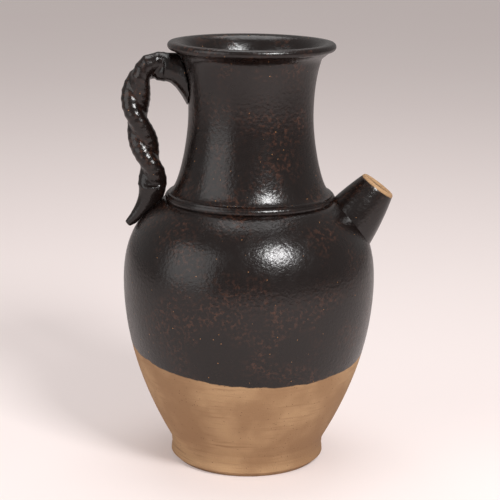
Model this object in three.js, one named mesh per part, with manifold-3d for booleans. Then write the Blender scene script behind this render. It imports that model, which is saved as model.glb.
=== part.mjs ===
// Thrown stoneware ewer with a twisted two-strand handle and a short luted spout.
// Millimetres, +Z up. Origin at the centre of the foot's underside, spout towards +X.
import * as THREE from "three";
import { mergeVertices } from "three/addons/utils/BufferGeometryUtils.js";
import Module from "manifold-3d";

const wasm = await Module();
wasm.setup();

// Slip layer left between pieces that are luted together
const SLIP = 0.3;

// Foot and body, outer radii and heights
const FOOT_FACE_RADIUS = 44.6;
const FOOT_RADIUS = 47.7;
const FOOT_CHAMFER = 3;
const FOOT_GROOVE_RADIUS = 46.9;
const FOOT_GROOVE_HEIGHT = 8;
const FOOT_TOP_RADIUS = 48.2;
const FOOT_TOP_HEIGHT = 14;
const BELLY_RADIUS = 77.4;
const BELLY_HEIGHT = 114;
const SHOULDER_RADIUS = 53;
const SHOULDER_HEIGHT = 163.5;
const BODY_WALL = 6;
const FLOOR_THICKNESS = 9;

// Lean of the walls, in degrees from the vertical, and reach of their curves
const FOOT_LEAN = 29.7;
const FOOT_REACH = 37.6;
const BELLY_REACH_DOWN = 34.1;
const BELLY_REACH_UP = 27.5;
const SHOULDER_LEAN = -55.2;
const SHOULDER_REACH = 17;

// Neck collar and rolled rim
const BEAD_RADIUS = 52;
const BEAD_RISE = 3.1;
const SHELF_RADIUS = 50.3;
const SHELF_RISE = 4.5;
const WAIST_RADIUS = 37.9;
const WAIST_HEIGHT = 217;
const UNDER_RIM_RADIUS = 42.3;
const UNDER_RIM_HEIGHT = 250.5;
const RIM_RADIUS = 50.7;
const RIM_TOP = 260;
const RIM_THICKNESS = 5;
const MOUTH_RADIUS = 39;
const NECK_WALL = 5;
const SHELF_LEAN = -100;
const SHELF_REACH = 6;
const WAIST_REACH_DOWN = 18.4;
const WAIST_REACH_UP = 11;
const RIM_LEAN = 18.5;
const RIM_REACH = 11;

// Spout: centre of its mouth, tilt above the horizontal, radii along its length
const SPOUT_MOUTH_X = 78.4;
const SPOUT_MOUTH_Z = 173.2;
const SPOUT_TILT = 54;
const SPOUT_MOUTH_RADIUS = 11.1;
const SPOUT_BASE_RADIUS = 18.6;
const SPOUT_LENGTH = 36;
const SPOUT_SWELL = 3.4;
const SPOUT_LIP_BORE = 7.8;
const SPOUT_WALL = 5;

// Handle: two strands pressed together and twisted left-handed
const STRAND_RADIUS = 6.4;
const STRAND_OFFSET = 2.9;
const TWIST_PITCH = 55;
const GROOVE_FRONT_HEIGHT = 199.5;
const HANDLE_START_X = -52.4;
const HANDLE_START_Z = 244;
const HANDLE_END_X = -59.7;
const HANDLE_END_Z = 172;
const HANDLE_BOWS = [
  [-60.5, 244], [-66.6, 238.5], [-69.2, 230], [-69.8, 220],
  [-68, 209], [-65, 198], [-62, 188], [-59.7, 180],
];
const ROOT_DEPTH = 17;
const ROOT_TOP_DROP = 7.4;
const ROOT_FOOT_Z = 214;
const ROOT_HALF_WIDTH = 13;
const HANDLE_HALF_WIDTH = 8.6;
const TAIL_TIP_X = -75.2;
const TAIL_TIP_Z = 147;
const TAIL_TIP_HALF = 2.2;

// Facets
const TURNS = 48;
const CURVE_STEPS = 9;
const SPOUT_TURNS = 24;
const STRAND_SIDES = 10;
const STRAND_STEP = 4.5;
const RING_SIDES = 16;

const radians = THREE.MathUtils.degToRad;

/** A curve in the profile plane that leaves one point and meets the next at given leans. */
function sweepCurve(from, fromLean, fromReach, to, toLean, toReach) {
  const out = new THREE.Vector2(Math.sin(radians(fromLean)), Math.cos(radians(fromLean)));
  const into = new THREE.Vector2(Math.sin(radians(toLean)), Math.cos(radians(toLean)));
  const start = new THREE.Vector2(...from);
  const end = new THREE.Vector2(...to);
  const curve = new THREE.CubicBezierCurve(
    start,
    start.clone().addScaledVector(out, fromReach),
    end.clone().addScaledVector(into, -toReach),
    end,
  );
  return curve.getPoints(CURVE_STEPS);
}

/** Turns a geometry's triangles to face outwards, without repeated or empty ones. */
function closedMesh(geometry) {
  const bare = geometry.index ? geometry : geometry.clone();
  bare.deleteAttribute("normal");
  bare.deleteAttribute("uv");
  const merged = mergeVertices(bare, 1e-3);
  const position = merged.attributes.position;
  const [a, b, c] = [new THREE.Vector3(), new THREE.Vector3(), new THREE.Vector3()];
  const kept = [];
  let volume = 0;
  for (let i = 0; i < merged.index.count; i += 3) {
    const corners = [0, 1, 2].map((k) => merged.index.getX(i + k));
    if (new Set(corners).size < 3) continue;
    kept.push(corners);
    [a, b, c].forEach((point, k) => point.fromBufferAttribute(position, corners[k]));
    volume += a.dot(b.cross(c));
  }
  const outward = volume < 0 ? kept.map(([p, q, r]) => [p, r, q]) : kept;
  merged.setIndex(outward.flat());
  return merged;
}

/** A solid for joining and cutting. */
function solidFrom(geometry) {
  const mesh = closedMesh(geometry);
  return new wasm.Manifold(new wasm.Mesh({
    numProp: 3,
    vertProperties: new Float32Array(mesh.attributes.position.array),
    triVerts: new Uint32Array(mesh.index.array),
  }));
}

/** The geometry of a cut solid. */
function geometryFrom(solid) {
  const { vertProperties, triVerts } = solid.getMesh();
  const geometry = new THREE.BufferGeometry();
  geometry.setAttribute("position", new THREE.BufferAttribute(vertProperties, 3));
  geometry.setIndex(new THREE.BufferAttribute(triVerts, 1));
  return geometry;
}

/** Revolves a profile of (radius, height) points about the vertical. */
function turned(profile, turns = TURNS) {
  const points = profile.map((p) => new THREE.Vector2(p.x, p.y));
  return new THREE.LatheGeometry(points, turns).rotateX(Math.PI / 2);
}

/** Skins a run of rings, each with as many points, and closes both ends. */
function loft(rings) {
  const sides = rings[0].length;
  const positions = rings.flat().flatMap((p) => [p.x, p.y, p.z]);
  const index = [];
  for (let i = 0; i + 1 < rings.length; i += 1) {
    for (let k = 0; k < sides; k += 1) {
      const here = i * sides + k;
      const next = i * sides + ((k + 1) % sides);
      index.push(here, next, here + sides, next, next + sides, here + sides);
    }
  }
  const last = (rings.length - 1) * sides;
  for (let k = 1; k + 1 < sides; k += 1) {
    index.push(0, k + 1, k);
    index.push(last, last + k, last + k + 1);
  }
  const geometry = new THREE.BufferGeometry();
  geometry.setAttribute("position", new THREE.Float32BufferAttribute(positions, 3));
  geometry.setIndex(index);
  return geometry;
}

/** Moves a profile square to itself, outwards when the distance is positive. */
function offsetProfile(profile, distance) {
  return profile.map((point, i) => {
    const before = profile[Math.max(i - 1, 0)];
    const after = profile[Math.min(i + 1, profile.length - 1)];
    const along = after.clone().sub(before).normalize();
    return new THREE.Vector2(point.x + along.y * distance, point.y - along.x * distance);
  });
}

/** The body's wall from the foot's top to the shoulder's edge. */
function bodyCurve() {
  const foot = [FOOT_TOP_RADIUS, FOOT_TOP_HEIGHT];
  const belly = [BELLY_RADIUS, BELLY_HEIGHT];
  const shoulder = [SHOULDER_RADIUS, SHOULDER_HEIGHT];
  const lower = sweepCurve(foot, FOOT_LEAN, FOOT_REACH, belly, 0, BELLY_REACH_DOWN);
  const upper = sweepCurve(belly, 0, BELLY_REACH_UP, shoulder, SHOULDER_LEAN, SHOULDER_REACH);
  return [...lower, ...upper.slice(1)];
}

/** The turned foot, from the axis out and up to where the wall starts. */
function footCurve() {
  return [
    new THREE.Vector2(0, 0),
    new THREE.Vector2(FOOT_FACE_RADIUS, 0),
    new THREE.Vector2(FOOT_RADIUS, FOOT_CHAMFER),
    new THREE.Vector2(FOOT_GROOVE_RADIUS, FOOT_GROOVE_HEIGHT),
  ];
}

/** The neck's outside, from the bead up to the underside of the rim. */
function neckCurve() {
  const shelf = [SHELF_RADIUS, SHOULDER_HEIGHT + SHELF_RISE];
  const waist = [WAIST_RADIUS, WAIST_HEIGHT];
  const underRim = [UNDER_RIM_RADIUS, UNDER_RIM_HEIGHT];
  const flare = sweepCurve(shelf, SHELF_LEAN, SHELF_REACH, waist, 0, WAIST_REACH_DOWN);
  const collar = sweepCurve(waist, 0, WAIST_REACH_UP, underRim, RIM_LEAN, RIM_REACH);
  return [...flare, ...collar.slice(1)];
}

/** The rolled rim, from under its edge, over the top and into the mouth. */
function rimCurve() {
  const middle = RIM_TOP - RIM_THICKNESS / 2;
  const half = RIM_THICKNESS / 2;
  return [
    new THREE.Vector2(RIM_RADIUS - half, middle - half),
    new THREE.Vector2(RIM_RADIUS, middle - half / 3),
    new THREE.Vector2(RIM_RADIUS - half / 2, middle + half * 0.8),
    new THREE.Vector2(RIM_RADIUS - half * 2, RIM_TOP),
    new THREE.Vector2(MOUTH_RADIUS + half, RIM_TOP - half),
    new THREE.Vector2(MOUTH_RADIUS, RIM_TOP - RIM_THICKNESS * 1.5),
  ];
}

/** A solid that fills the body's outside, grown by a distance. */
function bodyEnvelope(grow) {
  const wall = offsetProfile(bodyCurve(), grow);
  const top = new THREE.Vector2(0, SHOULDER_HEIGHT + grow);
  const bottom = new THREE.Vector2(0, FOOT_TOP_HEIGHT);
  const edge = new THREE.Vector2(wall.at(-1).x, SHOULDER_HEIGHT + grow);
  return solidFrom(turned([bottom, ...wall, edge, top]));
}

/** A solid that fills the neck's outside, grown by a distance, from the shoulder up. */
function neckEnvelope(grow) {
  const base = SHOULDER_HEIGHT;
  const bead = new THREE.Vector2(BEAD_RADIUS + grow, base + BEAD_RISE + grow);
  const underBead = new THREE.Vector2(BEAD_RADIUS + grow, base - grow);
  const wall = offsetProfile([...neckCurve(), ...rimCurve().slice(0, 4)], grow);
  const foot = new THREE.Vector2(0, base - grow);
  const top = new THREE.Vector2(0, RIM_TOP + grow);
  return solidFrom(turned([foot, underBead, bead, ...wall, top]));
}

/** A point of the spout's own axis, with distances measured back from the mouth. */
function spoutPlacement() {
  const lean = Math.PI / 2 - radians(SPOUT_TILT);
  return new THREE.Matrix4()
    .makeTranslation(SPOUT_MOUTH_X, 0, SPOUT_MOUTH_Z)
    .multiply(new THREE.Matrix4().makeRotationY(lean));
}

/** The outside radius of the spout at a share of its length back from the mouth. */
function spoutRadius(share) {
  const straight = SPOUT_MOUTH_RADIUS + (SPOUT_BASE_RADIUS - SPOUT_MOUTH_RADIUS) * share;
  return straight + SPOUT_SWELL * share * (1 - share);
}

/** A taper along the spout's axis whose radius follows a rule, with a run past each end. */
function spoutTaper(radiusAt, past) {
  const shares = Array.from({ length: CURVE_STEPS }, (_, i) => i / (CURVE_STEPS - 1));
  const wall = shares.map((s) => new THREE.Vector2(radiusAt(s), -s * SPOUT_LENGTH)).reverse();
  const ends = [new THREE.Vector2(0, -SPOUT_LENGTH - past), new THREE.Vector2(0, past)];
  const low = new THREE.Vector2(wall[0].x, -SPOUT_LENGTH - past);
  const high = new THREE.Vector2(wall.at(-1).x, past);
  const profile = past > 0 ? [ends[0], low, ...wall, high, ends[1]] : [ends[0], ...wall, ends[1]];
  return solidFrom(turned(profile, SPOUT_TURNS).applyMatrix4(spoutPlacement()));
}

/** The passage that runs through the spout and on through the body's wall. */
function spoutBore() {
  const slope = (share) => spoutRadius(share) - spoutRadius(0);
  const limit = SPOUT_BASE_RADIUS - SPOUT_WALL;
  return spoutTaper((share) => Math.min(SPOUT_LIP_BORE + slope(share) * 0.6, limit), SPOUT_WALL);
}

function makeBody() {
  const wall = bodyCurve();
  const inside = offsetProfile(wall, -BODY_WALL).filter((p) => p.y > FLOOR_THICKNESS);
  const opening = new THREE.Vector2(SHOULDER_RADIUS - BODY_WALL * 1.5, SHOULDER_HEIGHT);
  const lip = inside.filter((p) => p.y < SHOULDER_HEIGHT - BODY_WALL).reverse();
  const floorEdge = new THREE.Vector2(FOOT_TOP_RADIUS - BODY_WALL * 2, FLOOR_THICKNESS);
  const floor = new THREE.Vector2(0, FLOOR_THICKNESS);
  const profile = [...footCurve(), ...wall, opening, ...lip, floorEdge, floor];
  return solidFrom(turned(profile)).subtract(spoutBore());
}

function makeNeck() {
  const base = SHOULDER_HEIGHT + SLIP;
  const outside = neckCurve();
  const inside = offsetProfile(outside, -NECK_WALL).reverse()
    .filter((p) => p.y > SHOULDER_HEIGHT + SHELF_RISE && p.x < MOUTH_RADIUS);
  const innerFoot = new THREE.Vector2(SHOULDER_RADIUS - BODY_WALL * 1.5, base);
  const profile = [
    innerFoot,
    new THREE.Vector2(BEAD_RADIUS - 0.6, base),
    new THREE.Vector2(BEAD_RADIUS, SHOULDER_HEIGHT + BEAD_RISE / 2),
    new THREE.Vector2(BEAD_RADIUS - 0.4, SHOULDER_HEIGHT + BEAD_RISE),
    ...outside,
    ...rimCurve(),
    ...inside,
    innerFoot,
  ];
  return solidFrom(turned(profile)).subtract(spoutBore());
}

function makeSpout() {
  return spoutTaper(spoutRadius, 0)
    .subtract(spoutBore())
    .subtract(bodyEnvelope(SLIP))
    .subtract(neckEnvelope(SLIP));
}

/** The handle's centre line, from beside the neck down to the shoulder. */
function handlePath() {
  const ends = [[HANDLE_START_X, HANDLE_START_Z], [HANDLE_END_X, HANDLE_END_Z]];
  const points = [ends[0], ...HANDLE_BOWS, ends[1]];
  return new THREE.CatmullRomCurve3(points.map(([x, z]) => new THREE.Vector3(x, 0, z)));
}

/** Distance along the handle's path at which it passes a height on its way down. */
function lengthAtHeight(path, height) {
  const samples = 400;
  const total = path.getLength();
  for (let i = 0; i <= samples; i += 1) {
    if (path.getPointAt(i / samples).z < height) return (total * i) / samples;
  }
  return total;
}

/** A strand's section: a circle pressed flat against its partner. */
function strandSection() {
  const flat = SLIP / 2;
  const halfAngle = Math.acos((flat - STRAND_OFFSET) / STRAND_RADIUS);
  return Array.from({ length: STRAND_SIDES }, (_, i) => {
    const angle = -halfAngle + (2 * halfAngle * i) / (STRAND_SIDES - 1);
    const across = STRAND_OFFSET + STRAND_RADIUS * Math.cos(angle);
    return [across, STRAND_RADIUS * Math.sin(angle)];
  });
}

/** One of the two twisted strands; side is 1 or -1. */
function makeStrand(side) {
  const path = handlePath();
  const total = path.getLength();
  const grooveAt = lengthAtHeight(path, GROOVE_FRONT_HEIGHT);
  const steps = Math.round(total / STRAND_STEP);
  const front = new THREE.Vector3(0, -1, 0);
  const rings = [];
  for (let i = 0; i <= steps; i += 1) {
    const centre = path.getPointAt(i / steps);
    const tangent = path.getTangentAt(i / steps);
    const inward = new THREE.Vector3().crossVectors(front, tangent).normalize();
    const turn = (2 * Math.PI * ((total * i) / steps - grooveAt)) / TWIST_PITCH;
    const across = inward.clone().multiplyScalar(Math.cos(turn))
      .addScaledVector(front, -Math.sin(turn)).multiplyScalar(side);
    const groove = front.clone().multiplyScalar(Math.cos(turn))
      .addScaledVector(inward, Math.sin(turn)).multiplyScalar(side);
    rings.push(strandSection().map(([a, g]) => centre.clone()
      .addScaledVector(across, a).addScaledVector(groove, g)));
  }
  return solidFrom(loft(rings)).subtract(neckEnvelope(SLIP)).subtract(bodyEnvelope(SLIP));
}

/** An oval ring about a centre, square to a direction in the handle's plane. */
function ovalRing(centre, direction, halfDepth, halfWidth) {
  const side = new THREE.Vector3(0, 1, 0);
  const depth = new THREE.Vector3().crossVectors(direction, side).normalize();
  return Array.from({ length: RING_SIDES }, (_, i) => {
    const angle = (2 * Math.PI * i) / RING_SIDES;
    return centre.clone()
      .addScaledVector(depth, halfDepth * Math.cos(angle))
      .addScaledVector(side, halfWidth * Math.sin(angle));
  });
}

/** The web that spreads the handle's upper end down the neck. */
function makeRoot() {
  const outward = new THREE.Vector3(-1, 0, 0);
  const top = RIM_TOP - ROOT_TOP_DROP;
  const outerX = HANDLE_START_X + SLIP;
  const endFoot = HANDLE_START_Z - HANDLE_HALF_WIDTH;
  const rings = [];
  const steps = 5;
  for (let i = 0; i <= steps; i += 1) {
    const share = i / steps;
    const settle = Math.sin((share * Math.PI) / 2);
    const bottom = THREE.MathUtils.lerp(ROOT_FOOT_Z, endFoot, settle);
    const halfWidth = THREE.MathUtils.lerp(ROOT_HALF_WIDTH, HANDLE_HALF_WIDTH, settle);
    const x = outerX + ROOT_DEPTH * (1 - share);
    const centre = new THREE.Vector3(x, 0, (top + bottom) / 2);
    rings.push(ovalRing(centre, outward, (top - bottom) / 2, halfWidth));
  }
  return solidFrom(loft(rings)).subtract(neckEnvelope(SLIP));
}

/** The pressed end that runs down the shoulder to a pinched tip. */
function makeTail() {
  const start = new THREE.Vector3(HANDLE_END_X, 0, HANDLE_END_Z - SLIP);
  const tip = new THREE.Vector3(TAIL_TIP_X, 0, TAIL_TIP_Z);
  const bend = new THREE.Vector3(HANDLE_END_X, 0, (HANDLE_END_Z + TAIL_TIP_Z) / 2);
  const path = new THREE.QuadraticBezierCurve3(start, bend, tip);
  const steps = 7;
  const rings = [];
  for (let i = 0; i <= steps; i += 1) {
    const share = i / steps;
    const half = THREE.MathUtils.lerp(HANDLE_HALF_WIDTH, TAIL_TIP_HALF, share ** 1.5);
    rings.push(ovalRing(path.getPoint(share), path.getTangent(share), half, half));
  }
  return solidFrom(loft(rings)).subtract(bodyEnvelope(SLIP)).subtract(neckEnvelope(SLIP));
}

const BARE_CLAY = { color: 0xb59a7c, roughness: 0.85, metalness: 0 };
const DARK_GLAZE = { color: 0x2a211d, roughness: 0.25, metalness: 0 };

/** A named piece with its finish. */
function piece(name, solid, finish) {
  const mesh = new THREE.Mesh(geometryFrom(solid), new THREE.MeshStandardMaterial(finish));
  mesh.name = name;
  return mesh;
}

const ewer = new THREE.Group();
ewer.add(
  piece("body", makeBody(), BARE_CLAY),
  piece("neck", makeNeck(), DARK_GLAZE),
  piece("spout", makeSpout(), DARK_GLAZE),
  piece("handle_strand_outer", makeStrand(-1), DARK_GLAZE),
  piece("handle_strand_inner", makeStrand(1), DARK_GLAZE),
  piece("handle_root", makeRoot(), DARK_GLAZE),
  piece("handle_tail", makeTail(), DARK_GLAZE),
);

export default ewer;
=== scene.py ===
"""Looks of a thrown stoneware ewer with an iron glaze and a twisted handle. Metres, +Z up."""
import math

import bmesh
import bpy
from mathutils import Matrix, Vector


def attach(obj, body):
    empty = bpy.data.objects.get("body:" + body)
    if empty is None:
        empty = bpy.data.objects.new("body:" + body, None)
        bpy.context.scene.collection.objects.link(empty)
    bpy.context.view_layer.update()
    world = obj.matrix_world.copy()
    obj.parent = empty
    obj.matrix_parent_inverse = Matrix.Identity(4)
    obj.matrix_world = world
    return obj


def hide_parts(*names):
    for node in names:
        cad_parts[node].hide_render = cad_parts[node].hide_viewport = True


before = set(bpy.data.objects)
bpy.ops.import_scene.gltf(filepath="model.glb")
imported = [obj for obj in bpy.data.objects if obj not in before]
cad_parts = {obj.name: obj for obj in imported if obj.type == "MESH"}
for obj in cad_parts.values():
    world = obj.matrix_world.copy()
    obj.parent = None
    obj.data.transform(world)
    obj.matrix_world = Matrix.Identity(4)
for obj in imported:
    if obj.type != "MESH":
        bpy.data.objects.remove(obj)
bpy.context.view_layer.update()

bl_info = {
    "name": "Stoneware Ewer",
    "version": (1, 0, 0),
    "blender": (4, 5, 0),
    "location": "View3D > Sidebar > Ewer",
    "description": "Models and finishes a thrown ewer round its fixed frame",
    "category": "Add Mesh",
}

MM = 0.001

# Turned foot, as radius and height
FOOT_FACE = (44.6 * MM, 0)
FOOT_CHAMFER = 3 * MM
FOOT_UNDERCUT = 0.2 * MM
FOOT_UNDERCUT_HEIGHT = 5.5 * MM
FOOT_GROOVES = ((46.7 * MM, 8.2 * MM), (47.4 * MM, 9.4 * MM), (47.6 * MM, 12.8 * MM))
FOOT_TOP = (48.2 * MM, 14 * MM)

# Leans of the body's curve in degrees from the vertical, and how far each carries
FOOT_LEAN = 29.7
FOOT_REACH = 37.6 * MM
BELLY_REACH_DOWN = 34.1 * MM
BELLY_REACH_UP = 27.5 * MM
SHOULDER_LEAN = -55.2
SHOULDER_REACH = 17 * MM

# Inside of the body
OPENING_RADIUS = 44 * MM
OPENING_THICKNESS = 5 * MM
FLOOR_EDGE = (36 * MM, 9.5 * MM)

# Neck: shelf, waist and the underside of the rim, with the leans and reaches between them
SHELF_RADIUS = 50.3 * MM
SHELF_RISE = 4.5 * MM
SHELF_LEAN = -100
SHELF_REACH = 6 * MM
WAIST_HEIGHT = 217 * MM
WAIST_REACH_DOWN = 18.4 * MM
WAIST_REACH_UP = 11 * MM
UNDER_RIM = (42.3 * MM, 250.5 * MM)
UNDER_RIM_LEAN = 18.5
UNDER_RIM_REACH = 11 * MM
NECK_WALL = 5 * MM
NECK_INSIDE_RISE = 4 * MM
NECK_INSIDE_TOP = 250 * MM

# Bead at the neck's foot, as radius and rise above the shoulder
BEAD = (
    (OPENING_RADIUS, 0.1 * MM), (51.4 * MM, 0.1 * MM), (51.9 * MM, 1.4 * MM),
    (51.9 * MM, 2.6 * MM), (51.3 * MM, 3.5 * MM), (50.5 * MM, 3.4 * MM),
)

# Rolled rim: half its thickness, its centre's drop, and the arc it follows in degrees
ROLL_RADIUS = 2.5 * MM
ROLL_DROP = 2.6 * MM
ROLL_FIRST = -100
ROLL_STEP = 20
ROLL_POINTS = 9

# Slope from the rim into the mouth, as radius and drop below the top
MOUTH = ((45.2 * MM, 0.3 * MM), (41.6 * MM, 2 * MM), (39.4 * MM, 5 * MM))

# Spout, along its own axis from the centre of its mouth
SPOUT_MOUTH_CENTRE = (78.4 * MM, 0, 173.2 * MM)
SPOUT_LENGTH = 34 * MM
SPOUT_MOUTH_RADIUS = 11.1 * MM
SPOUT_BASE_RADIUS = 18.4 * MM
SPOUT_SWELL = 3.4 * MM
SPOUT_LIP = ((10.4 * MM, 0.6 * MM), (8.8 * MM, 0.5 * MM))
SPOUT_BORE_RADIUS = 7.8 * MM
SPOUT_BORE_FLARE = 4 * MM
SPOUT_BORE_START = 0.6 * MM
SPOUT_STEPS = 12
SPOUT_BORE_STEPS = 6
SPOUT_TURNS = 72

# Facets of the body and the neck, and the sharpest angle that shades smooth
TURNS = 144
CURVE_STEPS = 16
SMOOTH_ANGLE = 50
WELD = 0.01 * MM

# Handle: voxel that its mesh is rebuilt from, weld of its facets, and how far it is smoothed
HANDLE_VOXEL = 0.7 * MM
FACET_WELD = 0.002 * MM
FINGERING = 0.5
FINGER_PASSES = 8

# Glaze line: the way up that it lies level to, its waver, and its two edges along that way
LINE_UP = (0.037, -0.129, 1)
LINE_WAVER = 3 * MM
LINE_WAVE_SIZE = 9 * MM
LINE_EDGES = (75.6 * MM, 76.4 * MM)

# Bare lip of the spout, as its edges along the spout's axis from the origin
BARE_LIP_EDGES = (184.6 * MM, 185.6 * MM)

# Marks in the glaze: their sizes, and the texture values where a mark starts and is full
POOL_SIZE = 28 * MM
POOL_EDGES = (0.42, 0.68)
MOTTLE_SIZE = 2.2 * MM
MOTTLE_EDGES = (0.45, 0.75)
MOTTLE_DETAIL = 4
PINHOLE_SPACING = 6 * MM
PINHOLE_EDGES = (0.06, 0.035)
GLOSS_SIZE = 5 * MM
GLOSS_ROUGHNESS = (0.14, 0.34)
GLAZE_IOR = 1.52

# The pitting of a fired glaze is finer than this, and is drawn coarse enough to show
PITTING_SIZE = 2 * MM
PITTING_STRENGTH = 0.7
PITTING_DEPTH = 0.3 * MM

# Marks in the bare clay, given in the same way
BLOTCH_SIZE = 30 * MM
BLOTCH_EDGES = (0.35, 0.65)
TOOL_LINE_SIZE = 1.4 * MM
TOOL_LINE_EDGES = (0.5, 0.8)
TOOL_LINE_DETAIL = 2
TOOL_LINE_STRETCH = (0.06, 0.06, 1.0)
GRIT_SPACING = 2.6 * MM
GRIT_EDGES = (0.12, 0.06)
GRAIN_SIZE = 0.9 * MM
TOOLING_STRENGTH = 0.5
TOOLING_DEPTH = 0.3 * MM
CLAY_ROUGHNESS = 0.85

# Fineness of the other noises
NOISE_DETAIL = 3

# A smooth step, and a mix of colours with its sockets by number, as their names aren't unique
SOFT_STEP = {"clamp": True, "interpolation_type": "SMOOTHSTEP"}
COLOUR_MIX = {"data_type": "RGBA"}
FACTOR = 0
FIRST = 6
SECOND = 7
MIXED = 2

# Stage: floor, lamps as size, watts and place, and the air round them
FLOOR_SIZE = 14
FLOOR_PATCH_SIZE = 400 * MM
FLOOR_PATCH_COLOUR = "#E3D9D6"
FLOOR_ROUGHNESS = 0.9
FLOOR_SEEN_GLOW = 0.3
LAMPS = {
    "key_lamp": (0.34, 12, (0.5, -0.82, 0.95)),
    "fill_lamp": (1.1, 5, (-1.1, -0.7, 0.6)),
    "top_lamp": (0.9, 7, (0.0, 0.3, 1.5)),
}
LAMP_TARGET = (0, 0, 0.13)
AIR_COLOUR = "#EEE9E7"
AIR_STRENGTH = 0.34

# Camera: about a metre off, above the rim, looking slightly down
CAMERA_PLACE = (0.0005, -0.950, 0.362)
CAMERA_PITCH = 13.65
CAMERA_ROLL = 0.75
FOCAL_PIXELS = 1582
FRAME_PIXELS = 500
SENSOR_MM = 36


def length(name, description, size_mm):
    """A length that the user can change."""
    return bpy.props.FloatProperty(
        name=name, description=description, default=size_mm * MM, unit="LENGTH")


class EwerSizes(bpy.types.PropertyGroup):
    """Sizes of the thrown pieces."""
    foot_radius: length("Foot radius", "Widest radius of the turned foot", 47.7)
    belly_radius: length("Belly radius", "Widest radius of the body", 77.4)
    belly_height: length("Belly height", "Height of the widest radius", 114)
    shoulder_radius: length("Shoulder radius", "Radius where the neck is luted on", 53)
    shoulder_height: length("Shoulder height", "Height where the neck is luted on", 163.5)
    waist_radius: length("Waist radius", "Narrowest radius of the neck", 37.9)
    rim_radius: length("Rim radius", "Outer radius of the rolled rim", 50.7)
    rim_top: length("Rim top", "Height of the whole jug", 260)
    wall: length("Wall", "Thickness of the thrown wall", 5.5)
    spout_tilt: bpy.props.FloatProperty(
        name="Spout tilt", description="Rise of the spout above the horizontal",
        default=math.radians(54), subtype="ANGLE")


def hex_colour(name, description, default):
    """A colour that the user can change, as sRGB hex."""
    return bpy.props.StringProperty(name=name, description=description, default=default)


class EwerColours(bpy.types.PropertyGroup):
    """Colours of the glaze, the clay and the floor, as sRGB hex."""
    glaze_dark: hex_colour("Glaze, thick", "Iron glaze where it lies thick", "#150D0B")
    glaze_brown: hex_colour("Glaze, thin", "Iron glaze where it thins and breaks", "#4A2E22")
    glaze_fleck: hex_colour("Glaze fleck", "Tan pinholes in the glaze", "#B07A4C")
    clay_light: hex_colour("Clay, light", "Bare fired clay, paler part", "#BC9770")
    clay_dark: hex_colour("Clay, dark", "Bare fired clay, browner part", "#A17C59")
    floor: hex_colour("Floor", "Pale studio floor", "#E2D6D4")


def linear(text):
    """Turns an sRGB hex colour into a linear one with alpha."""
    parts = [int(text[i:i + 2], 16) / 255 for i in (1, 3, 5)]
    return [v / 12.92 if v <= 0.04045 else ((v + 0.055) / 1.055) ** 2.4 for v in parts] + [1.0]


def add_node(tree, kind, settings=None, inputs=None):
    """Adds a node with its settings, its values and its links."""
    node = tree.nodes.new(kind)
    for name, value in (settings or {}).items():
        setattr(node, name, value)
    for key, value in (inputs or {}).items():
        if isinstance(value, bpy.types.NodeSocket):
            tree.links.new(value, node.inputs[key])
        else:
            node.inputs[key].default_value = value
    return node


def marks(place, size):
    """Inputs that give a texture's marks a real size."""
    return {"Vector": place, "Scale": 1 / size}


def between(edges):
    """Inputs that take a value from 0 at the first edge to 1 at the second."""
    return {"From Min": edges[0], "From Max": edges[1]}


def glaze_colour(tree, place, colours):
    """Near black where the glaze lies thick, brown where it thins, tan at its pinholes."""
    pools = add_node(tree, "ShaderNodeTexNoise", None,
                     {**marks(place, POOL_SIZE), "Detail": NOISE_DETAIL})
    pooled = add_node(tree, "ShaderNodeMapRange", SOFT_STEP,
                      {"Value": pools.outputs["Fac"], **between(POOL_EDGES)})
    mottle = add_node(tree, "ShaderNodeTexNoise", None,
                      {**marks(place, MOTTLE_SIZE), "Detail": MOTTLE_DETAIL})
    mottled = add_node(tree, "ShaderNodeMapRange", SOFT_STEP,
                       {"Value": mottle.outputs["Fac"], **between(MOTTLE_EDGES)})
    thin = add_node(tree, "ShaderNodeMath", {"operation": "MULTIPLY"},
                    {0: pooled.outputs["Result"], 1: mottled.outputs["Result"]})
    ground = add_node(tree, "ShaderNodeMix", COLOUR_MIX, {
        FACTOR: thin.outputs[0], FIRST: linear(colours.glaze_dark),
        SECOND: linear(colours.glaze_brown)})
    pits = add_node(tree, "ShaderNodeTexVoronoi", None, marks(place, PINHOLE_SPACING))
    pinholes = add_node(tree, "ShaderNodeMapRange", SOFT_STEP,
                        {"Value": pits.outputs["Distance"], **between(PINHOLE_EDGES)})
    flecked = add_node(tree, "ShaderNodeMix", COLOUR_MIX, {
        FACTOR: pinholes.outputs["Result"], FIRST: ground.outputs[MIXED],
        SECOND: linear(colours.glaze_fleck)})
    return flecked.outputs[MIXED]


def glaze_shader(tree, place, colours):
    """Iron glaze, dipped and fired: dark and glassy, a little duller in patches.

    Its skin is faintly pitted, so a highlight breaks up into speckles.
    """
    skin = add_node(tree, "ShaderNodeTexNoise", None,
                    {**marks(place, PITTING_SIZE), "Detail": NOISE_DETAIL})
    pitting = add_node(tree, "ShaderNodeBump", None, {
        "Height": skin.outputs["Fac"], "Strength": PITTING_STRENGTH,
        "Distance": PITTING_DEPTH})
    sheen = add_node(tree, "ShaderNodeTexNoise", None,
                     {**marks(place, GLOSS_SIZE), "Detail": NOISE_DETAIL})
    gloss = add_node(tree, "ShaderNodeMapRange", None, {
        "Value": sheen.outputs["Fac"], "To Min": GLOSS_ROUGHNESS[0],
        "To Max": GLOSS_ROUGHNESS[1]})
    shader = add_node(tree, "ShaderNodeBsdfPrincipled", None, {
        "Base Color": glaze_colour(tree, place, colours), "Roughness": gloss.outputs["Result"],
        "IOR": GLAZE_IOR, "Normal": pitting.outputs["Normal"]})
    return shader.outputs["BSDF"]


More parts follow.
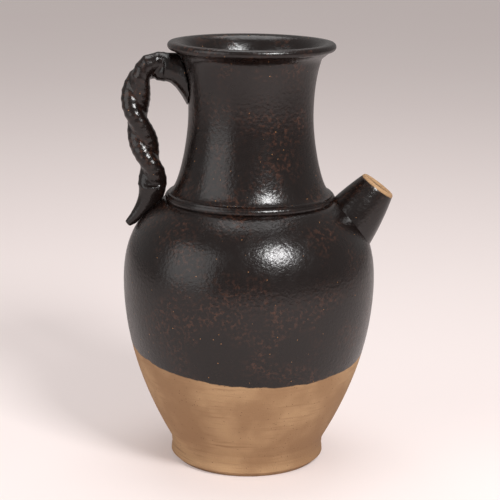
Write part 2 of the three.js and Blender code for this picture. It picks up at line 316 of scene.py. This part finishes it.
def tool_lines(tree, place):
    """The level lines that the turning tool leaves round the clay."""
    around = add_node(tree, "ShaderNodeMapping", None,
                      {"Vector": place, "Scale": TOOL_LINE_STRETCH})
    lines = add_node(tree, "ShaderNodeTexNoise", None, {
        **marks(around.outputs["Vector"], TOOL_LINE_SIZE), "Detail": TOOL_LINE_DETAIL})
    return lines.outputs["Fac"]


def clay_colour(tree, place, colours, lines):
    """Pale clay, browner in blotches and along the tool's lines, with dark grit."""
    dark = linear(colours.clay_dark)
    cloud = add_node(tree, "ShaderNodeTexNoise", None,
                     {**marks(place, BLOTCH_SIZE), "Detail": NOISE_DETAIL})
    blotch = add_node(tree, "ShaderNodeMapRange", SOFT_STEP,
                      {"Value": cloud.outputs["Fac"], **between(BLOTCH_EDGES)})
    ground = add_node(tree, "ShaderNodeMix", COLOUR_MIX, {
        FACTOR: blotch.outputs["Result"], FIRST: linear(colours.clay_light), SECOND: dark})
    turned = add_node(tree, "ShaderNodeMapRange", SOFT_STEP,
                      {"Value": lines, **between(TOOL_LINE_EDGES)})
    lined = add_node(tree, "ShaderNodeMix", COLOUR_MIX, {
        FACTOR: turned.outputs["Result"], FIRST: ground.outputs[MIXED], SECOND: dark})
    grains = add_node(tree, "ShaderNodeTexVoronoi", None, marks(place, GRIT_SPACING))
    grit = add_node(tree, "ShaderNodeMapRange", SOFT_STEP,
                    {"Value": grains.outputs["Distance"], **between(GRIT_EDGES)})
    gritty = add_node(tree, "ShaderNodeMix", COLOUR_MIX, {
        FACTOR: grit.outputs["Result"], FIRST: lined.outputs[MIXED],
        SECOND: linear(colours.glaze_brown)})
    return gritty.outputs[MIXED]


def clay_shader(tree, place, colours):
    """Stoneware, thrown and turned, left bare: dry and matt.

    Dark grit and the level lines of the turning tool show on it.
    """
    lines = tool_lines(tree, place)
    grain = add_node(tree, "ShaderNodeTexNoise", None,
                     {**marks(place, GRAIN_SIZE), "Detail": NOISE_DETAIL})
    height = add_node(tree, "ShaderNodeMath", {"operation": "ADD"},
                      {0: lines, 1: grain.outputs["Fac"]})
    tooling = add_node(tree, "ShaderNodeBump", None, {
        "Height": height.outputs[0], "Strength": TOOLING_STRENGTH, "Distance": TOOLING_DEPTH})
    shader = add_node(tree, "ShaderNodeBsdfPrincipled", None, {
        "Base Color": clay_colour(tree, place, colours, lines), "Roughness": CLAY_ROUGHNESS,
        "Normal": tooling.outputs["Normal"]})
    return shader.outputs["BSDF"]


def glaze_line(tree, place):
    """Where the dipped glaze starts: a tilted line with a slight waver, 1 above it."""
    height = add_node(tree, "ShaderNodeVectorMath", {"operation": "DOT_PRODUCT"},
                      {0: place, 1: LINE_UP})
    waver = add_node(tree, "ShaderNodeTexNoise", None,
                     {**marks(place, LINE_WAVE_SIZE), "Detail": NOISE_DETAIL})
    wavering = add_node(tree, "ShaderNodeMath", {"operation": "MULTIPLY_ADD"},
                        {0: waver.outputs["Fac"], 1: LINE_WAVER, 2: height.outputs["Value"]})
    line = add_node(tree, "ShaderNodeMapRange", SOFT_STEP,
                    {"Value": wavering.outputs[0], **between(LINE_EDGES)})
    return line.outputs["Result"]


def new_material(name):
    """A material with an empty tree, its output and its place on the object."""
    material = bpy.data.materials.new(name)
    material.use_nodes = True
    tree = material.node_tree
    tree.nodes.clear()
    output = add_node(tree, "ShaderNodeOutputMaterial")
    place = add_node(tree, "ShaderNodeTexCoord").outputs["Object"]
    return material, tree, output, place


def glaze_material(colours):
    """Iron glaze all over, as on the neck and the handle."""
    material, tree, output, place = new_material("iron_glaze_fired")
    tree.links.new(glaze_shader(tree, place, colours), output.inputs["Surface"])
    return material


def dipped_material(colours):
    """Stoneware dipped in glaze, bare below the line."""
    material, tree, output, place = new_material("stoneware_dipped_in_glaze")
    both = add_node(tree, "ShaderNodeMixShader", None, {
        0: glaze_line(tree, place), 1: clay_shader(tree, place, colours),
        2: glaze_shader(tree, place, colours)})
    tree.links.new(both.outputs[0], output.inputs["Surface"])
    return material


def spout_material(colours, tilt):
    """Glaze wiped off the spout's lip, where the bare clay fires tan."""
    material, tree, output, place = new_material("glaze_wiped_at_lip")
    axis = (math.cos(tilt), 0, math.sin(tilt))
    along = add_node(tree, "ShaderNodeVectorMath", {"operation": "DOT_PRODUCT"},
                     {0: place, 1: axis})
    lip = add_node(tree, "ShaderNodeMapRange", SOFT_STEP,
                   {"Value": along.outputs["Value"], **between(BARE_LIP_EDGES)})
    both = add_node(tree, "ShaderNodeMixShader", None, {
        0: lip.outputs["Result"], 1: glaze_shader(tree, place, colours),
        2: clay_shader(tree, place, colours)})
    tree.links.new(both.outputs[0], output.inputs["Surface"])
    return material


def leaning(degrees):
    """A direction in (radius, height) at a lean from the vertical."""
    angle = math.radians(degrees)
    return Vector((math.sin(angle), math.cos(angle)))


def curve_points(start, start_lean, start_reach, end, end_lean, end_reach):
    """A curve in (radius, height) that leaves and meets its ends at given leans."""
    a, d = Vector(start), Vector(end)
    b = a + leaning(start_lean) * start_reach
    c = d - leaning(end_lean) * end_reach
    points = []
    for i in range(CURVE_STEPS + 1):
        t = i / CURVE_STEPS
        s = 1 - t
        points.append(a * s ** 3 + b * 3 * t * s ** 2 + c * 3 * t * t * s + d * t ** 3)
    return points


def inner_wall(points, wall):
    """The same curve, set in by the wall and run back down."""
    inside = []
    for i, point in enumerate(points):
        after = points[min(i + 1, len(points) - 1)]
        before = points[max(i - 1, 0)]
        along = (after - before).normalized()
        inside.append(Vector((point.x - along.y * wall, point.y + along.x * wall)))
    return inside[::-1]


def throw(name, profile, closed_ends, turns=TURNS):
    """Raises a ring from a circle through each (radius, height) of a profile."""
    bpy.ops.object.select_all(action="DESELECT")
    bpy.ops.mesh.primitive_circle_add(
        vertices=turns, radius=profile[0][0], location=(0, 0, profile[0][1]),
        fill_type="NGON" if closed_ends else "NOTHING")
    piece = bpy.context.object
    piece.name = name
    bpy.ops.object.transform_apply(location=True, rotation=True, scale=True)
    bpy.ops.object.mode_set(mode="EDIT")
    bpy.ops.mesh.select_mode(type="EDGE")
    bpy.ops.mesh.select_all(action="SELECT")
    for (r0, z0), (r1, z1) in zip(profile, profile[1:]):
        bpy.ops.mesh.extrude_edges_move(TRANSFORM_OT_translate={"value": (0, 0, z1 - z0)})
        bpy.ops.transform.resize(value=(r1 / r0, r1 / r0, 1), center_override=(0, 0, z1))
    if closed_ends:
        bpy.ops.mesh.edge_face_add()
    bpy.ops.mesh.select_all(action="SELECT")
    bpy.ops.mesh.remove_doubles(threshold=WELD)
    bpy.ops.mesh.normals_make_consistent(inside=False)
    bpy.ops.object.mode_set(mode="OBJECT")
    bpy.ops.object.shade_smooth_by_angle(angle=math.radians(SMOOTH_ANGLE))
    return piece


def dress(piece, material, slot, *nodes):
    """Gives a piece its material, its body and the nodes it stands for."""
    piece.data.materials.clear()
    piece.data.materials.append(material)
    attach(piece, "root")
    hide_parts(*nodes)


def body_outside(sizes):
    """The body's wall from the foot's top to the shoulder's edge."""
    belly = (sizes.belly_radius, sizes.belly_height)
    shoulder = (sizes.shoulder_radius, sizes.shoulder_height)
    lower = curve_points(FOOT_TOP, FOOT_LEAN, FOOT_REACH, belly, 0, BELLY_REACH_DOWN)
    upper = curve_points(belly, 0, BELLY_REACH_UP, shoulder, SHOULDER_LEAN, SHOULDER_REACH)
    return lower + upper[1:]


def foot_profile(sizes):
    """The turned foot, from its flat face up to its grooves."""
    steps = (
        FOOT_FACE,
        (sizes.foot_radius, FOOT_CHAMFER),
        (sizes.foot_radius - FOOT_UNDERCUT, FOOT_UNDERCUT_HEIGHT),
    )
    return [Vector(step) for step in steps + FOOT_GROOVES]


class EWER_OT_body(bpy.types.Operator):
    """Throws the body with its shoulder, floor and turned foot."""
    bl_idname = "ewer.body"
    bl_label = "Throw body"

    def execute(self, context):
        sizes = context.scene.ewer_sizes
        outside = body_outside(sizes)
        top = sizes.shoulder_height - OPENING_THICKNESS
        inside = [p for p in inner_wall(outside, sizes.wall) if FOOT_TOP[1] < p.y < top]
        opening = Vector((OPENING_RADIUS, sizes.shoulder_height))
        profile = foot_profile(sizes) + outside + [opening] + inside + [Vector(FLOOR_EDGE)]
        body = throw("body_thrown", profile, True)
        dress(body, dipped_material(context.scene.ewer_colours), "bare_stoneware", "body")
        return {"FINISHED"}


def neck_outside(sizes):
    """The neck from the shelf above the bead to the underside of the rim."""
    shelf = (SHELF_RADIUS, sizes.shoulder_height + SHELF_RISE)
    waist = (sizes.waist_radius, WAIST_HEIGHT)
    flare = curve_points(shelf, SHELF_LEAN, SHELF_REACH, waist, 0, WAIST_REACH_DOWN)
    collar = curve_points(waist, 0, WAIST_REACH_UP, UNDER_RIM, UNDER_RIM_LEAN, UNDER_RIM_REACH)
    return flare + collar[1:]


def rim_profile(sizes):
    """The rolled rim and the slope from it into the mouth."""
    centre = Vector((sizes.rim_radius - ROLL_RADIUS, sizes.rim_top - ROLL_DROP))
    angles = [math.radians(ROLL_FIRST + ROLL_STEP * i) for i in range(ROLL_POINTS)]
    roll = [centre + Vector((ROLL_RADIUS * math.cos(a), ROLL_RADIUS * math.sin(a))) for a in angles]
    slope = [Vector((radius, sizes.rim_top - drop)) for radius, drop in MOUTH]
    return roll + slope


class EWER_OT_neck(bpy.types.Operator):
    """Throws the collar neck with its bead and rolled rim."""
    bl_idname = "ewer.neck"
    bl_label = "Throw neck"

    def execute(self, context):
        sizes = context.scene.ewer_sizes
        base = sizes.shoulder_height
        outside = neck_outside(sizes)
        bead = [Vector((radius, base + rise)) for radius, rise in BEAD]
        low = base + NECK_INSIDE_RISE
        inside = [p for p in inner_wall(outside, NECK_WALL) if low < p.y < NECK_INSIDE_TOP]
        profile = bead + outside + rim_profile(sizes) + inside + bead[:1]
        neck = throw("neck_collar", profile, False)
        dress(neck, glaze_material(context.scene.ewer_colours), "dark_glaze", "neck")
        return {"FINISHED"}


def spout_outside():
    """The spout's outside from its base to its mouth, swelling a little between."""
    points = []
    for i in range(SPOUT_STEPS + 1):
        share = 1 - i / SPOUT_STEPS
        straight = SPOUT_MOUTH_RADIUS + (SPOUT_BASE_RADIUS - SPOUT_MOUTH_RADIUS) * share
        points.append(Vector((straight + SPOUT_SWELL * share * (1 - share), -share * SPOUT_LENGTH)))
    return points


def spout_bore():
    """The spout's passage from its mouth down, flaring as it goes."""
    shares = [i / SPOUT_BORE_STEPS for i in range(SPOUT_BORE_STEPS + 1)]
    return [Vector((SPOUT_BORE_RADIUS + SPOUT_BORE_FLARE * s, -SPOUT_BORE_START - SPOUT_LENGTH * s))
            for s in shares]


class EWER_OT_spout(bpy.types.Operator):
    """Throws the tapered spout and leans it on the shoulder."""
    bl_idname = "ewer.spout"
    bl_label = "Throw spout"

    def execute(self, context):
        tilt = context.scene.ewer_sizes.spout_tilt
        outside = spout_outside()
        lip = [Vector(point) for point in SPOUT_LIP]
        profile = outside + lip + spout_bore() + outside[:1]
        spout = throw("spout_thrown", profile, False, SPOUT_TURNS)
        lean = Matrix.Rotation(math.pi / 2 - tilt, 4, "Y")
        spout.data.transform(Matrix.Translation(SPOUT_MOUTH_CENTRE) @ lean)
        material = spout_material(context.scene.ewer_colours, tilt)
        dress(spout, material, "dark_glaze", "spout")
        return {"FINISHED"}


class EWER_OT_handle(bpy.types.Operator):
    """Presses the twisted strands, their web and their tail into one handle."""
    bl_idname = "ewer.handle"
    bl_label = "Twist handle"

    nodes = ("handle_strand_outer", "handle_strand_inner", "handle_root", "handle_tail")

    def execute(self, context):
        joined = bmesh.new()
        for name in self.nodes:
            joined.from_mesh(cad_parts[name].data)
        mesh = bpy.data.meshes.new("handle_twisted")
        bmesh.ops.remove_doubles(joined, verts=joined.verts, dist=FACET_WELD)
        joined.to_mesh(mesh)
        joined.free()
        handle = bpy.data.objects.new("handle_twisted", mesh)
        context.collection.objects.link(handle)
        bpy.ops.object.select_all(action="DESELECT")
        handle.select_set(True)
        context.view_layer.objects.active = handle
        remesh = handle.modifiers.new("Clay", "REMESH")
        remesh.mode = "VOXEL"
        remesh.voxel_size = HANDLE_VOXEL
        remesh.use_smooth_shade = True
        smooth = handle.modifiers.new("Fingered", "SMOOTH")
        smooth.factor = FINGERING
        smooth.iterations = FINGER_PASSES
        for modifier in [remesh.name, smooth.name]:
            bpy.ops.object.modifier_apply(modifier=modifier)
        dress(handle, glaze_material(context.scene.ewer_colours), "dark_glaze", *self.nodes)
        return {"FINISHED"}


def floor_material(colour):
    """Painted floor with faint patches, lifted only where the camera sees it."""
    material, tree, output, place = new_material("painted_studio_floor")
    patches = add_node(tree, "ShaderNodeTexNoise", None,
                       {**marks(place, FLOOR_PATCH_SIZE), "Detail": NOISE_DETAIL})
    tone = add_node(tree, "ShaderNodeMix", COLOUR_MIX, {
        FACTOR: patches.outputs["Fac"], FIRST: linear(colour),
        SECOND: linear(FLOOR_PATCH_COLOUR)})
    seen = add_node(tree, "ShaderNodeLightPath").outputs["Is Camera Ray"]
    glow = add_node(tree, "ShaderNodeMath", {"operation": "MULTIPLY"},
                    {0: seen, 1: FLOOR_SEEN_GLOW})
    paint = add_node(tree, "ShaderNodeBsdfPrincipled", None, {
        "Base Color": tone.outputs[MIXED], "Roughness": FLOOR_ROUGHNESS,
        "Emission Color": tone.outputs[MIXED], "Emission Strength": glow.outputs[0]})
    tree.links.new(paint.outputs["BSDF"], output.inputs["Surface"])
    return material


def add_lamp(name, size, power, place):
    """A soft square lamp aimed at the middle of the jug."""
    bpy.ops.object.light_add(type="AREA", location=place)
    lamp = bpy.context.object
    lamp.name = name
    lamp.data.size = size
    lamp.data.energy = power
    aim = Vector(LAMP_TARGET) - Vector(place)
    lamp.rotation_euler = aim.to_track_quat("-Z", "Y").to_euler()


def add_air(scene):
    """Pale even light from all round."""
    world = bpy.data.worlds.new("studio_air")
    world.use_nodes = True
    background = world.node_tree.nodes["Background"]
    background.inputs["Color"].default_value = linear(AIR_COLOUR)
    background.inputs["Strength"].default_value = AIR_STRENGTH
    scene.world = world


def add_camera(scene):
    """The camera at the photograph's viewing angle."""
    data = bpy.data.cameras.new("camera")
    data.sensor_width = SENSOR_MM
    data.lens = FOCAL_PIXELS * SENSOR_MM / FRAME_PIXELS
    camera = bpy.data.objects.new("camera", data)
    scene.collection.objects.link(camera)
    pitch = Matrix.Rotation(math.pi / 2 - math.radians(CAMERA_PITCH), 4, "X")
    roll = Matrix.Rotation(math.radians(CAMERA_ROLL), 4, "Z")
    camera.matrix_world = Matrix.Translation(CAMERA_PLACE) @ pitch @ roll
    scene.camera = camera


class EWER_OT_stage(bpy.types.Operator):
    """Lays the floor, hangs the lamps and sets the camera."""
    bl_idname = "ewer.stage"
    bl_label = "Set stage"

    def execute(self, context):
        scene = context.scene
        bpy.ops.object.select_all(action="DESELECT")
        bpy.ops.mesh.primitive_plane_add(size=FLOOR_SIZE)
        floor = context.object
        floor.name = "studio_floor"
        floor.data.materials.append(floor_material(scene.ewer_colours.floor))
        for name, (size, power, place) in LAMPS.items():
            add_lamp(name, size, power, place)
        add_air(scene)
        scene.view_settings.view_transform = "Standard"
        add_camera(scene)
        return {"FINISHED"}


class EWER_PT_panel(bpy.types.Panel):
    """Lists the pieces and their sizes."""
    bl_label = "Ewer"
    bl_idname = "EWER_PT_panel"
    bl_space_type = "VIEW_3D"
    bl_region_type = "UI"
    bl_category = "Ewer"

    def draw(self, context):
        for settings in (context.scene.ewer_sizes, context.scene.ewer_colours):
            for name in settings.__annotations__:
                self.layout.prop(settings, name)
        for operator in OPERATORS:
            self.layout.operator(operator.bl_idname)


OPERATORS = (EWER_OT_stage, EWER_OT_body, EWER_OT_neck, EWER_OT_spout, EWER_OT_handle)
CLASSES = (EwerSizes, EwerColours) + OPERATORS + (EWER_PT_panel,)


def register():
    for item in CLASSES:
        bpy.utils.register_class(item)
    bpy.types.Scene.ewer_sizes = bpy.props.PointerProperty(type=EwerSizes)
    bpy.types.Scene.ewer_colours = bpy.props.PointerProperty(type=EwerColours)


def unregister():
    del bpy.types.Scene.ewer_colours
    del bpy.types.Scene.ewer_sizes
    for item in reversed(CLASSES):
        bpy.utils.unregister_class(item)


def main():
    register()
    bpy.ops.ewer.stage()
    bpy.ops.ewer.body()
    bpy.ops.ewer.neck()
    bpy.ops.ewer.spout()
    bpy.ops.ewer.handle()


if __name__ == "__main__":
    main()
